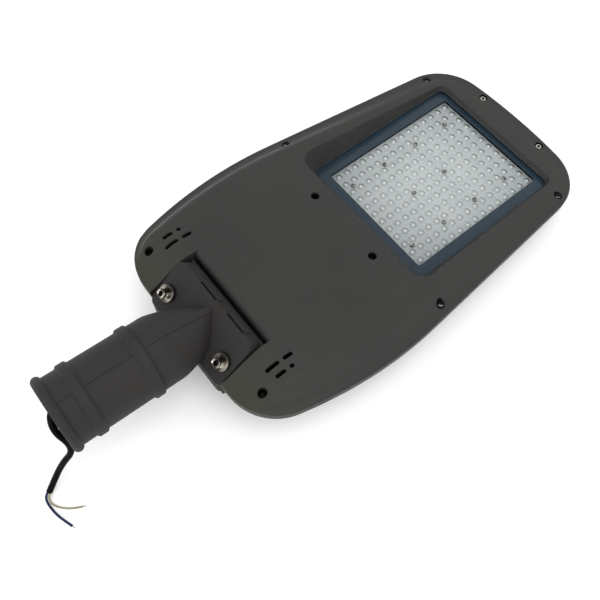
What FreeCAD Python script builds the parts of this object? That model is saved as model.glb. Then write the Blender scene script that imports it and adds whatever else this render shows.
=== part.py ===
import FreeCAD, Part
import Sketcher
import math
import os
import re

# LED street light head, lying on its back housing with the glass up.
# Millimetres. X runs from the pole socket to the lamp front, Y across, Z along the glass normal.
# The origin is the middle of the body's footprint on the surface that it lies on.

V = FreeCAD.Vector
doc = FreeCAD.newDocument("StreetLightHead")
sheet = doc.addObject("Spreadsheet::Sheet", "Sizes")

sizes = [
    ("Body outline, seen along Z",),
    ("bodyFrontX", 310.6),
    ("bodyTailX", -172.4),
    ("halfWidth", 141.3),
    ("widestX", -8.0),
    ("bowRadius", 650.0),
    ("frontCornerRadius", 60.0),
    ("flankRadius", 476.0),
    ("sideTaper", 5.05),
    ("tailCornerRadius", 56.0),
    ("Inclined planes: height at X = 0 and fall per mm towards the front",),
    ("partingHeight", 59.4),
    ("partingFall", 0.06),
    ("faceHeight", 78.7),
    ("faceFall", 0.1096),
    ("Front cover",),
    ("coverWall", 3.0),
    ("rimWidth", 10.0),
    ("lipFace", 2.0),
    ("lipHeight", 3.6),
    ("lipRound", 1.6),
    ("shoulderInset", 27.0),
    ("tailShift", 6.0),
    ("tailSlopeStartX", -124.0),
    ("pocketFrontX", -116.0),
    ("pocketHalfWidth", 59.9),
    ("pocketWall", 8.0),
    ("pocketLipRound", 6.0),
    ("Window and glass",),
    ("windowFrontX", 268.3),
    ("windowRearX", 63.3),
    ("windowHalfWidth", 88.7),
    ("windowCorner", 8.0),
    ("wellDraftSide", 0.37),
    ("wellDraftRear", 0.555),
    ("wellDraftFront", 0.65),
    ("glassTop", 43.5),
    ("glassThickness", 4.0),
    ("glassLap", 7.3),
    ("glassClearance", 0.3),
    ("glassCorner", 10.0),
    ("glassGasket", 1.2),
    ("frameWall", 8.0),
    ("frameCorner", 28.0),
    ("retainerThickness", 1.5),
    ("retainerLip", 5.0),
    ("retainerScrewRadius", 1.5),
    ("retainerSetback", 0.5),
    ("Vent slots beside the pocket",),
    ("ventWidth", 4.0),
    ("ventInnerY", 81.5),
    ("ventOuterY", 91.7),
    ("ventInnerRearX", -128.2),
    ("ventInnerRearLength", 15.5),
    ("ventInnerFrontX", -110.5),
    ("ventInnerFrontLength", 11.0),
    ("ventOuterRearX", -126.3),
    ("ventOuterRearLength", 11.5),
    ("ventOuterFrontX", -113.4),
    ("ventOuterFrontLength", 5.0),
    ("Back housing",),
    ("housingLip", 8.5),
    ("housingWall", 3.5),
    ("baseHeight", 24.0),
    ("baseInset", 45.0),
    ("boardSeat", 30.0),
    ("finThickness", 3.0),
    ("finPitch", 15.0),
    ("finTipInset", 51.0),
    ("finRearX", 30.0),
    ("driverClearance", 11.0),
    ("terminalClearance", 9.0),
    ("bayCorner", 14.0),
    ("bayDraft", 0.12),
    ("gasketGroove", 3.4),
    ("gasketWidth", 3.8),
    ("gasketDepth", 2.0),
    ("Cover screws: place, mirrored about Y = 0, and height of the head's top",),
    ("screw1X", 298.8),
    ("screw1Y", 46.1),
    ("screw1Top", 44.9),
    ("screw2X", 260.4),
    ("screw2Y", 108.1),
    ("screw2Top", 49.0),
    ("screw3X", 51.6),
    ("screw3Y", 126.1),
    ("screw3Top", 66.2),
    ("screw4X", 28.1),
    ("screw4Y", 46.2),
    ("screw4Top", 70.2),
    ("screw5X", -148.9),
    ("screw5Y", 93.4),
    ("screw5Top", 77.0),
    ("screwRadius", 2.5),
    ("screwHeadRadius", 4.2),
    ("screwHeadHeight", 2.6),
    ("screwGrip", 12.0),
    ("counterboreRadius", 4.7),
    ("bossRadius", 6.2),
    ("screwClearance", 0.3),
    ("screwHoleSpare", 4.0),
    ("LED engine",),
    ("lensRows", 15),
    ("lensColumns", 12),
    ("lensPitchX", 12.28),
    ("lensPitchY", 12.5),
    ("lensFrontX", 257.1),
    ("lensRadius", 3.6),
    ("lensHeight", 2.6),
    ("lensMargin", 6.6),
    ("lensPlateThickness", 2.0),
    ("lensAirGap", 0.9),
    ("boardThickness", 1.6),
    ("chipSize", 3.0),
    ("chipHeight", 0.7),
    ("lensScrewRadius", 1.5),
    ("lensScrewHeadRadius", 2.8),
    ("lensScrewHeadHeight", 1.8),
    ("lensScrewReach", 4.0),
    ("lensSkirt", 2.2),
    ("boardCorner", 2.0),
    ("Driver bay",),
    ("driverLength", 128.0),
    ("driverWidth", 58.0),
    ("driverHeight", 30.0),
    ("driverX", -20.0),
    ("driverTab", 7.0),
    ("driverTabWidth", 20.0),
    ("driverTabThickness", 1.5),
    ("driverCorner", 3.0),
    ("driverScrewRadius", 2.0),
    ("driverScrewHeadRadius", 3.5),
    ("driverScrewHeadHeight", 2.4),
    ("driverScrewLength", 3.6),
    ("driverScrewSocket", 2.5),
    ("terminalX", -74.0),
    ("terminalLength", 46.0),
    ("terminalWidth", 18.0),
    ("terminalHeight", 17.0),
    ("terminalCorner", 1.5),
    ("Spigot flange, 45 degrees to the tube",),
    ("flangeX", -121.5),
    ("flangeZ", 85.0),
    ("flangeTilt", 39.4),
    ("flangeThickness", 17.0),
    ("flangeHalfWidth", 58.2),
    ("flangeCorner", 9.5),
    ("flangeLead", 1.5),
    ("flangeFootCorner", 6.0),
    ("flangeEndX", -175.2),
    ("boltSlope", 33.9),
    ("boltY", 45.0),
    ("boltRadius", 3.0),
    ("boltHeadRadius", 5.0),
    ("boltHeadHeight", 6.0),
    ("boltReach", 15.0),
    ("boltClearance", 0.3),
    ("boltSocket", 5.0),
    ("padWasherThickness", 3.5),
    ("washerRadius", 9.0),
    ("washerThickness", 1.6),
    ("springRadius", 6.0),
    ("springThickness", 1.6),
    ("springClearance", 0.2),
    ("springSplit", 0.8),
    ("Spigot tube",),
    ("mouthX", -307.6),
    ("mouthZ", 91.3),
    ("tubeTilt", 5.6),
    ("tubeRadius", 35.0),
    ("boreRadius", 31.0),
    ("boreDepth", 100.0),
    ("beadRadius", 5.0),
    ("beadRise", 3.5),
    ("bandWidth", 12.5),
    ("bandRise", 2.3),
    ("bandOneX", 28.8),
    ("bandTwoX", 88.1),
    ("neckStartX", -197.0),
    ("neckSlope", 21.3),
    ("passageRadius", 19.0),
    ("glandSlope", 45.4),
    ("glandRoom", 30.0),
    ("lugReach", 3.0),
    ("lugMargin", 1.5),
    ("slotLength", 25.0),
    ("slotWidth", 2.0),
    ("slotReach", 2.5),
    ("slotDepth", 8.0),
    ("slotRightY", 13.2),
    ("slotLeftY", -29.2),
    ("stripWidth", 12.0),
    ("stripEndWidth", 7.0),
    ("stripDepth", 12.0),
    ("stripTilt", 5.0),
    ("setScrewFirst", 45.0),
    ("setScrewSecond", 72.0),
    ("setScrewRadius", 4.0),
    ("setScrewLength", 8.0),
    ("setScrewRoom", 8.0),
    ("Supply cable",),
    ("cableRadius", 3.2),
    ("wireRadius", 0.9),
    ("glandThreadRadius", 8.0),
    ("glandHexRadius", 10.0),
    ("glandDomeRadius", 8.5),
    ("glandThreadLength", 16.0),
    ("glandHexTop", 5.0),
    ("glandDomeFoot", 6.0),
    ("glandDomeTop", 13.0),
    ("glandTop", 17.0),
    ("glandTopWall", 2.0),
]

row = 0
names = set()
for entry in sizes:
    row += 1
    sheet.set(f"A{row}", entry[0])
    if len(entry) == 2:
        sheet.set(f"B{row}", str(entry[1]))
        sheet.setAlias(f"B{row}", entry[0])
        names.add(entry[0])
doc.recompute()


def size(name):
    return float(getattr(sheet, name))


def link(text):
    def bound(match):
        word = match.group(0)
        return "Sizes." + word if word in names else word

    return re.sub(r"[A-Za-z]\w*", bound, text)


def value(text):
    found = sheet.evalExpression(link(text))
    return float(getattr(found, "Value", found))


def bind(item, **texts):
    for name, text in texts.items():
        item.setExpression(name.replace("_", "."), link(text))


# Planes of the body

def partingZ(x):
    return size("partingHeight") - size("partingFall") * x


def faceZ(x):
    return size("faceHeight") - size("faceFall") * x


partingPlane = (size("partingHeight"), size("partingFall"))
facePlane = (size("faceHeight"), size("faceFall"))


def between(low, high, share, lift=0.0):
    """A plane that lies a share of the way from one plane to another, then lifted."""
    return tuple(low[k] + share * (high[k] - low[k]) + (lift if k == 0 else 0.0) for k in (0, 1))


def flat(height):
    return (height, 0.0)


# Outline of the body: tangent arcs and a straight side, mirrored about Y = 0

def outline(inset, plane):
    bow = size("bowRadius")
    corner = size("frontCornerRadius")
    flank = size("flankRadius")
    tail = size("tailCornerRadius")
    taper = math.radians(size("sideTaper"))
    bowX = size("bodyFrontX") - bow
    flankX = size("widestX")
    flankY = size("halfWidth") - flank
    normal = (math.sin(taper), math.cos(taper))
    along = (math.cos(taper), -math.sin(taper))
    reach = flankX * normal[0] + flankY * normal[1] + flank - corner
    footX = reach * normal[0] - bowX
    footY = reach * normal[1]
    half = footX * along[0] + footY * along[1]
    rest = footX**2 + footY**2 - (bow - corner) ** 2
    run = -half + math.sqrt(half**2 - rest)
    cornerX = bowX + footX + run * along[0]
    cornerY = footY + run * along[1]
    tailX = size("bodyTailX") + tail
    tailY = flankY + math.sqrt((flank - tail) ** 2 - (tailX - flankX) ** 2)
    bowTurn = math.atan2(cornerY, cornerX - bowX)
    sideTurn = math.pi / 2 - taper
    flankTurn = math.atan2(tailY - flankY, tailX - flankX)

    def on(x, y, radius, turn):
        return V(x + (radius - inset) * math.cos(turn), y + (radius - inset) * math.sin(turn), 0)

    def arc(x, y, radius, start, end):
        return Part.Arc(
            on(x, y, radius, start), on(x, y, radius, (start + end) / 2), on(x, y, radius, end)
        ).toShape()

    side = [
        arc(cornerX, cornerY, corner, bowTurn, sideTurn),
        Part.LineSegment(
            on(cornerX, cornerY, corner, sideTurn), on(flankX, flankY, flank, sideTurn)
        ).toShape(),
        arc(flankX, flankY, flank, sideTurn, flankTurn),
        arc(tailX, tailY, tail, flankTurn, math.pi),
    ]
    other = [edge.mirror(V(0, 0, 0), V(0, 1, 0)) for edge in reversed(side)]
    tailEnd = on(tailX, tailY, tail, math.pi)
    edges = [arc(bowX, 0, bow, -bowTurn, bowTurn)] + side
    edges.append(Part.LineSegment(tailEnd, V(tailEnd.x, -tailEnd.y, 0)).toShape())
    edges.extend(other)
    wire = Part.Wire(Part.__sortEdges__(edges))
    return lay(wire, plane)


def lay(shape, plane):
    """Lift a flat shape onto an inclined plane without changing its outline."""
    incline = FreeCAD.Matrix()
    incline.A31 = -plane[1]
    incline.A34 = plane[0]
    return shape.transformGeometry(incline)


def stack(levels, ruled):
    return Part.makeLoft([outline(inset, plane) for inset, plane in levels], True, ruled)


def roundedBox(rearX, frontX, halfY, corner, low, high, growRear=0.0, growFront=0.0, growSide=0.0):
    """A block with rounded upright corners, whose walls lean out by the given slopes."""

    def ring(z):
        rise = z - low
        rear = rearX - growRear * rise
        front = frontX + growFront * rise
        side = halfY + growSide * rise
        bend = corner + growSide * rise
        cut = bend * (1 - math.sqrt(0.5))
        edges = []
        places = [(rear, -side, 1, 1), (front, -side, -1, 1), (front, side, -1, -1), (rear, side, 1, -1)]
        for k, (x, y, toX, toY) in enumerate(places):
            alongX = V(x + toX * bend, y, z)
            alongY = V(x, y + toY * bend, z)
            middle = V(x + toX * cut, y + toY * cut, z)
            ends = (alongY, alongX) if k % 2 == 0 else (alongX, alongY)
            edges.append((ends[0], middle, ends[1]))
        parts = []
        for k, (start, middle, end) in enumerate(edges):
            parts.append(Part.Arc(start, middle, end).toShape())
            parts.append(Part.LineSegment(end, edges[(k + 1) % 4][0]).toShape())
        return Part.Wire(Part.__sortEdges__(parts))

    return Part.makeLoft([ring(low), ring(high)], True, True)


def block(x0, x1, y0, y1, z0, z1):
    return Part.makeBox(x1 - x0, y1 - y0, z1 - z0, V(x0, y0, z0))


def slab(corners, halfY):
    """A solid of the given X, Z outline, as wide as twice halfY."""
    ring = Part.makePolygon([V(x, -halfY, z) for x, z in corners + corners[:1]])
    return Part.Face(ring).extrude(V(0, 2 * halfY, 0))


def pin(x, y, z0, z1, radius):
    return Part.makeCylinder(radius, z1 - z0, V(x, y, z0))


nodes = []


def feature(label, shape):
    item = doc.addObject("Part::Feature", label)
    item.Label = label
    item.Shape = shape
    item.Placement = FreeCAD.Placement()
    nodes.append(item)
    return item


far = 400.0
high = 120.0

# Cover screws: place and height of the head's top

coverScrews = [(size(f"screw{k}X"), size(f"screw{k}Y"), size(f"screw{k}Top")) for k in range(1, 6)]
screwPlaces = [(x, side * y, top) for x, y, top in coverScrews for side in (1, -1)]

# Window frame sizes, which the cover, the glass, its gasket and its retainer share

lap = size("glassLap")
glassRear = size("windowRearX") - lap
glassFront = size("windowFrontX") + lap
glassSide = size("windowHalfWidth") + lap
glassLow = size("glassTop") - size("glassThickness")
ledge = size("glassTop") + size("glassGasket")
loose = size("glassClearance")
frameWall = size("frameWall")
frameRear = glassRear - loose - frameWall
frameFront = glassFront + loose + frameWall
frameSide = glassSide + loose + frameWall
midWall = loose + frameWall / 2
sideScrewX = (110.0, 220.0)
retainerPlaces = [(x, y) for x in (glassRear - midWall, glassFront + midWall) for y in (-45.0, 45.0)]
retainerPlaces += [(x, y) for x in sideScrewX for y in (-glassSide - midWall, glassSide + midWall)]
retainerScrewReach = 8.0


def tailSlope(drop):
    """Space above the rounded slope of the cover's tail."""
    start = size("tailSlopeStartX")
    tail = size("bodyTailX")
    lip = partingZ(tail) + size("lipFace") + 0.5
    run = start - tail
    rise = faceZ(start) - lip
    shares = [(0.0, 1.0), (0.27, 0.83), (0.42, 0.66), (0.56, 0.47), (0.7, 0.27), (0.85, 0.09), (1.0, 0.0)]
    points = [V(start - a * run, 0, lip + b * rise - drop) for a, b in shares]
    curve = Part.BSplineCurve()
    curve.interpolate(Points=points, InitialTangent=V(-1, 0, size("faceFall")), FinalTangent=V(-1, 0, 0))
    edges = [curve.toShape()]
    corners = [points[-1], V(tail - 20, 0, points[-1].z), V(tail - 20, 0, high), V(start, 0, high), points[0]]
    for first, second in zip(corners, corners[1:]):
        edges.append(Part.LineSegment(first, second).toShape())
    face = Part.Face(Part.Wire(edges))
    face.translate(V(0, -far, 0))
    return face.extrude(V(0, 2 * far, 0))


def pocketSpace(grow):
    x = size("pocketFrontX") + grow
    y = size("pocketHalfWidth") + grow
    return block(-far, x, -y, y, 0, high)


def pocketLip():
    """Space above the rounded upper edge of the pocket's front wall."""
    radius = size("pocketLipRound")
    front = size("pocketFrontX") + radius
    top = faceZ(front)
    diagonal = radius * math.sqrt(0.5)
    start = V(front, 0, top)
    middle = V(front - diagonal, 0, top - radius + diagonal)
    end = V(front - radius, 0, top - radius)
    corners = [end, V(end.x - 1, 0, end.z), V(end.x - 1, 0, high), V(front, 0, high), start]
    edges = [Part.Arc(start, middle, end).toShape()]
    for first, second in zip(corners, corners[1:]):
        edges.append(Part.LineSegment(first, second).toShape())
    face = Part.Face(Part.Wire(edges))
    face.translate(V(0, -size("pocketHalfWidth"), 0))
    return face.extrude(V(0, 2 * size("pocketHalfWidth"), 0))


def vents():
    cuts = []
    radius = size("ventWidth") / 2
    for line, end in (("Inner", "Rear"), ("Inner", "Front"), ("Outer", "Rear"), ("Outer", "Front")):
        x = size(f"vent{line}{end}X")
        y = size(f"vent{line}Y")
        reach = size(f"vent{line}{end}Length") / 2 - radius
        for side in (1, -1):
            slot = block(x - reach, x + reach, side * y - radius, side * y + radius, partingZ(x), high)
            ends = [pin(x + k * reach, side * y, partingZ(x), high, radius) for k in (1, -1)]
            cuts.append(slot.fuse(ends))
    return cuts


def frontCover():
    lip = between(partingPlane, facePlane, 0, size("lipHeight"))
    lipSide = between(partingPlane, facePlane, 0, size("lipFace"))
    shoulder = size("shoulderInset")
    rimRound = size("lipRound")
    edge = stack([(0, partingPlane), (0, lipSide), (rimRound, lip)], True)
    form = [
        (0.12, 0.012), (0.2, 0.04), (0.28, 0.085), (0.37, 0.165), (0.48, 0.34), (0.57, 0.55), (0.67, 0.75),
        (0.76, 0.89), (0.86, 0.965), (1.0, 1.0),
    ]
    foot = (shoulder * 0.08, between(lip, facePlane, -0.05, -0.8))
    levels = [foot] + [(shoulder * a, between(lip, facePlane, f)) for a, f in form]
    crown = stack(levels, True)
    tailForm = crown.copy()
    tailForm.translate(V(-size("tailShift"), 0, 0))
    bounds = stack([(0.3, partingPlane), (0.3, flat(high))], True)
    tailForm = tailForm.common(bounds.common(block(-far, size("widestX") - 12, -far, far, 0, high)))
    outer = edge.fuse([crown, tailForm])
    outer = outer.cut(tailSlope(0))

    wall = size("coverWall")
    rim = size("rimWidth")
    floor = between(partingPlane, facePlane, 0, 1.0)
    roof = between(partingPlane, facePlane, 1, -wall)
    inner = [(rim, between(partingPlane, facePlane, 0, -1.0)), (rim, floor)]
    inner += [(rim + 12, between(floor, roof, 0.8)), (rim + 17, between(floor, roof, 0.95)), (rim + 21, roof)]
    hollow = stack(inner, True)
    hollow = hollow.cut(tailSlope(wall + 0.8))
    hollow = hollow.cut(pocketSpace(size("pocketWall")))

    frame = roundedBox(frameRear, frameFront, frameSide, size("frameCorner"), glassLow, high)
    below = stack([(rim + 0.5, flat(10)), (rim + 0.5, partingPlane)], True)
    bosses = [pin(x, y, 10, high, size("bossRadius")) for x, y, top in screwPlaces]
    bosses = [boss.common(outer) for boss in bosses]
    hollow = hollow.cut([frame] + bosses)
    cover = outer.cut(hollow).fuse(frame.common(below))

    seat = roundedBox(
        glassRear - loose, glassFront + loose, glassSide + loose, size("glassCorner") + loose, 0, ledge
    )
    well = roundedBox(
        size("windowRearX"), size("windowFrontX"), size("windowHalfWidth"), size("windowCorner"),
        ledge, high, size("wellDraftRear"), size("wellDraftFront"), size("wellDraftSide"),
    )
    inset = 20.0
    mouth = block(
        size("windowRearX") + inset, size("windowFrontX") - inset, -size("windowHalfWidth") + inset,
        size("windowHalfWidth") - inset, 0, high,
    )
    window = roundedBox(
        size("windowRearX"), size("windowFrontX"), size("windowHalfWidth"), size("windowCorner"), 0, ledge
    )
    cover = cover.cut([seat, well, window.fuse(mouth)])
    cuts = vents()
    for x, y, top in screwPlaces:
        headSeat = top - size("screwHeadHeight")
        cuts.append(pin(x, y, 0, high, size("screwRadius") + size("screwClearance")))
        cuts.append(pin(x, y, headSeat, high, size("counterboreRadius")))
    for x, y in retainerPlaces:
        cuts.append(pin(x, y, 0, glassLow + retainerScrewReach, size("retainerScrewRadius")))
    cuts += [pocketSpace(0), pocketLip()]
    return cover.cut(cuts)


def deck(half):
    """The thick sloping wall of the housing under the flange, and the rim round the cover's pocket."""
    front = size("pocketFrontX") + size("pocketWall")
    tail = size("bodyTailX")
    tailFoot = flangeLine(tail)
    step = 26.0
    under = 57.0
    heel = 9.0
    nose = size("flangeX") + 2.0
    foot = tail + heel
    corners = [
        (front, partingZ(front)), (tail, partingZ(tail)), (tail, tailFoot - heel),
        (foot, flangeLine(foot) - step), (nose, under), (front, under),
    ]
    return slab(corners, half)


def flangeLine(x):
    """Height of the plane where the flange meets the housing."""
    return size("flangeZ") + (x - size("flangeX")) * math.tan(math.radians(size("flangeTilt")))


def backHousing():
    lip = between(partingPlane, flat(0), 0, -size("housingLip"))
    base = flat(size("baseHeight"))
    inset = size("baseInset")
    edge = stack([(0, lip), (0, partingPlane)], True)
    form = [
        (0.0, 0.0), (0.03, 0.07), (0.1, 0.2), (0.2, 0.38), (0.34, 0.58), (0.53, 0.79), (0.76, 0.94),
        (1.0, 1.0),
    ]
    body = stack([(inset * a, between(lip, base, f)) for a, f in form], True)
    outer = edge.fuse(body)

    bayRear = size("terminalX") - size("terminalWidth") / 2 - size("terminalClearance")
    bayFront = size("driverX") + size("driverWidth") / 2 + size("driverClearance")
    draft = size("bayDraft")
    bayHalf = size("driverLength") / 2 + size("driverTab") + size("driverClearance")
    bayHalf -= draft * size("boardSeat")
    bay = roundedBox(
        bayRear, bayFront, bayHalf, size("bayCorner"), 0, size("boardSeat"), draft, draft, draft
    )
    finSpace = stack([(size("finTipInset"), flat(0)), (inset, flat(size("baseHeight") + 1))], True)
    fins = []
    count = int(size("halfWidth") / size("finPitch"))
    for k in range(-count, count + 1):
        y = k * size("finPitch")
        half = size("finThickness") / 2
        fins.append(block(size("finRearX"), far, y - half, y + half, 0, size("baseHeight") + 1))
    comb = Part.makeCompound(fins).common(finSpace)
    outer = outer.fuse([bay] + comb.Solids)

    rim = size("rimWidth")
    wallFoot = between(partingPlane, flat(0), 0, -7.0)
    seat = flat(size("boardSeat"))
    hollow = stack([(rim, wallFoot), (rim, between(partingPlane, flat(0), 0, 1.0))], True)
    inner = [
        (rim, wallFoot), (rim + 3, between(wallFoot, seat, 0.3)), (rim + 13, between(wallFoot, seat, 0.7)),
        (inset - 7, seat),
    ]
    hollow = hollow.fuse(stack(inner, True))
    wall = size("housingWall")
    bayHollow = roundedBox(
        bayRear + wall, bayFront - wall, bayHalf - wall, size("bayCorner") - wall, wall,
        size("boardSeat") + 1, draft, draft, draft,
    )
    below = stack([(0, flat(0)), (0, partingPlane)], True)
    frameRoom = roundedBox(
        frameRear - loose, frameFront + loose, frameSide + loose, size("frameCorner") + loose,
        glassLow - size("retainerThickness") - loose, high,
    )
    posts = [pin(x, y, size("baseHeight"), high, size("bossRadius")) for x, y, top in screwPlaces]
    posts = [post.common(below).cut(frameRoom) for post in posts]
    hollow = hollow.cut([deck(size("pocketHalfWidth") + size("pocketWall"))] + posts)
    housing = outer.cut([hollow, bayHollow]).fuse(deck(size("flangeHalfWidth") - 0.5))

    ridgeFront = size("flangeX") + 2.0
    ridgeFoot = partingZ(ridgeFront) - 2
    ridgeRear = size("bodyTailX") + 16
    ridge = slab(
        [
            (size("flangeX"), size("flangeZ")), (ridgeFront, size("flangeZ") - 1.2), (ridgeFront, ridgeFoot),
            (ridgeRear + 14, ridgeFoot - 6), (ridgeRear, flangeLine(ridgeRear)),
        ],
        size("pocketHalfWidth") - 2.5,
    )
    housing = housing.fuse(ridge)
    tail = size("bodyTailX") - 30
    above = slab(
        [(size("flangeX"), size("flangeZ")), (size("flangeX"), high), (tail, high), (tail, flangeLine(tail))],
        size("pocketHalfWidth"),
    )
    cuts = [above]
    for x, y, top in screwPlaces:
        foot = top - size("screwHeadHeight") - size("screwGrip") - size("screwHoleSpare")
        cuts.append(pin(x, y, foot, high, size("screwRadius")))
    cuts.append(gasketRing())
    lensHoleFoot = size("boardSeat") - size("lensScrewReach") - 0.5
    for x, y in lensScrewPlaces:
        cuts.append(pin(x, y, lensHoleFoot, size("boardSeat") + 1, size("lensScrewRadius")))
    driverHoleFoot = 0.8
    for side in (-1, 1):
        screwY = side * driverScrewY
        cuts.append(pin(size("driverX"), screwY, driverHoleFoot, wall + 1, size("driverScrewRadius")))
        boltY = side * size("boltY")
        cuts.append(along(size("boltRadius"), -size("boltReach") - 1, 1, size("boltSlope"), boltY))
    cuts.append(along(size("glandThreadRadius"), -40, 1, size("glandSlope"), 0))
    return housing.cut(cuts)


def gasketRing():
    """A flat cord in a groove of the housing's rim, round the outline and round the pocket."""
    start = size("gasketGroove")
    width = size("gasketWidth")
    deep = between(partingPlane, flat(0), 0, -size("gasketDepth"))
    offset = 2.0
    whole = stack([(start, deep), (start, partingPlane)], True).cut(pocketSpace(offset))
    inside = stack([(start + width, deep), (start + width, partingPlane)], True)
    return whole.cut(inside.cut(pocketSpace(offset + width)))


# The flange's own frame: slope runs down the flange from its upper edge, out is its normal

tilt = math.radians(size("flangeTilt"))
slopeWay = V(-math.cos(tilt), 0, -math.sin(tilt))
outWay = V(-math.sin(tilt), 0, math.cos(tilt))
flangeTop = V(size("flangeX"), 0, size("flangeZ"))
flangeTurn = FreeCAD.Rotation(slopeWay, V(0, -1, 0), outWay, "ZXY")


def place(slope, y, out):
    return flangeTop + slopeWay * slope + V(0, y, 0) + outWay * out


def along(radius, low, top, slope, y):
    """A cylinder along the flange's normal."""
    return Part.makeCylinder(radius, top - low, place(slope, y, low), outWay)


# The tube's own frame: reach runs along the tube's axis from its mouth

lean = math.radians(size("tubeTilt"))
tubeWay = V(math.cos(lean), 0, -math.sin(lean))
mouth = V(size("mouthX"), 0, size("mouthZ"))
topWay = V(math.sin(lean), 0, math.cos(lean))


def axisAt(reach):
    return mouth + tubeWay * reach


def spigot():
    radius = size("tubeRadius")
    neckReach = (size("neckStartX") - size("mouthX")) / math.cos(lean)
    bead = size("beadRadius")
    rise = size("beadRise")
    core = radius + rise - bead
    beyondNeck = block(size("neckStartX"), 0, -far, far, 0, 2 * high)
    tube = Part.makeCylinder(radius, neckReach + 10, mouth, tubeWay).cut(beyondNeck)
    pieces = []
    ring = Part.makeTorus(core, bead, axisAt(bead), tubeWay)
    pieces.append(ring.fuse(Part.makeCylinder(core, 2 * bead, mouth, tubeWay)))
    wide = size("bandWidth")
    step = size("bandRise")
    for start in (size("bandOneX"), size("bandTwoX")):
        foot = axisAt(start - wide / 2)
        pieces.append(Part.makeCylinder(radius + step, wide - 2 * step, foot + tubeWay * step, tubeWay))
        pieces.append(Part.makeCone(radius, radius + step, step, foot, tubeWay))
        pieces.append(Part.makeCone(radius + step, radius, step, foot + tubeWay * (wide - step), tubeWay))
    thick = size("flangeThickness")
    solid = tube.fuse(pieces + [neckForm(), flangePlate(thick)] + strips() + lugs(thick))
    beyond = Part.makePolygon(
        [place(-40, -far, 0), place(200, -far, 0), place(200, -far, -200), place(-40, -far, -200),
         place(-40, -far, 0)]
    )
    solid = solid.cut(Part.Face(beyond).extrude(V(0, 2 * far, 0)))
    bore = Part.makeCylinder(size("boreRadius"), size("boreDepth") + 1, mouth - tubeWay, tubeWay)
    passageEnd = (size("flangeEndX") - size("mouthX")) / math.cos(lean)
    depth = size("boreDepth")
    passage = Part.makeCylinder(size("passageRadius"), passageEnd - depth, axisAt(depth), tubeWay)
    drop = along(size("glandHexRadius") + 2.5, -1, size("glandRoom"), size("glandSlope"), 0)
    cuts = [bore, passage, drop] + slots(thick)
    boltHole = size("boltRadius") + size("boltClearance")
    for k in (-1, 1):
        cuts.append(along(boltHole, -1, far, size("boltSlope"), k * size("boltY")))
    for reach in setScrewReach:
        foot = axisAt(reach) - topWay * (radius + size("setScrewRoom"))
        cuts.append(Part.makeCylinder(size("setScrewRadius"), 20, foot, topWay))
    return solid.cut(cuts).removeSplitter()


def neckForm():
    """The tube narrows to a nose that runs up to the flange's upper edge."""
    start = size("neckStartX")
    slope = math.tan(math.radians(size("neckSlope")))
    halfHeight = size("tubeRadius") / math.cos(lean)
    topStart = size("mouthZ") - math.tan(lean) * (start - size("mouthX")) + halfHeight
    bottomStart = topStart - 2 * halfHeight
    nose = flangeTop.x + outWay.x * size("flangeThickness") - 3.0
    run = nose - start
    rings = []
    for share, width in [(0.0, 1.0), (0.28, 0.9), (0.46, 0.79), (0.65, 0.63), (0.85, 0.36), (1.0, 0.12)]:
        x = start + share * run
        top = topStart - slope * share * run
        bottom = bottomStart - 2.0 * share
        ellipse = Part.Ellipse(V(0, 0, 0), (top - bottom) / 2, width * size("tubeRadius"))
        wire = Part.Wire([ellipse.toShape()])
        wire.Placement = FreeCAD.Placement(
            V(x, 0, (top + bottom) / 2), FreeCAD.Rotation(V(0, 0, 1), V(0, 1, 0), V(1, 0, 0), "ZXY")
        )
        rings.append(wire)
    return Part.makeLoft(rings, True, False)


def flangePlate(thick):
    width = size("flangeHalfWidth")
    corner = size("flangeCorner")
    plate = Part.makeBox(far, 2 * width, thick)
    plate.Placement = FreeCAD.Placement(place(-size("flangeLead"), width, 0), flangeTurn)
    upper = [
        edge for edge in plate.Edges
        if abs(edge.tangentAt(0).dot(outWay)) > 0.99 and (edge.CenterOfMass - flangeTop).dot(slopeWay) < 1
    ]
    plate = plate.makeFillet(corner, upper)
    end = size("flangeEndX")
    plate = plate.cut(block(-2 * far, end, -far, far, -far, far))
    lower = [
        edge for edge in plate.Edges
        if abs(edge.CenterOfMass.x - end) < 0.01 and abs(abs(edge.CenterOfMass.y) - width) < 0.01
    ]
    return plate.makeFillet(size("flangeFootCorner"), lower)


def onEdge(y, reach, back, length, low, top):
    """A block at the flange's upper edge, from the given reach past the edge to the given way back."""
    item = Part.makeBox(reach + back, length, top - low)
    item.Placement = FreeCAD.Placement(place(-reach, y + length / 2, low), flangeTurn)
    return item


def slots(thick):
    """Two narrow slots in the lugs of the flange's upper edge."""
    reach = size("slotReach")
    back = size("slotWidth") - reach
    return [
        onEdge(y, reach, back, size("slotLength"), thick - size("slotDepth"), thick + 1)
        for y in (size("slotRightY"), size("slotLeftY"))
    ]


def lugs(thick):
    """Two lugs that stand past the flange's upper edge, level with its face."""
    margin = size("lugMargin")
    root = 4.0
    length = size("slotLength") + 2 * margin
    low = thick - size("slotDepth") - margin
    return [
        onEdge(y, size("lugReach"), root, length, low, thick)
        for y in (size("slotRightY"), size("slotLeftY"))
    ]


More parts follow.
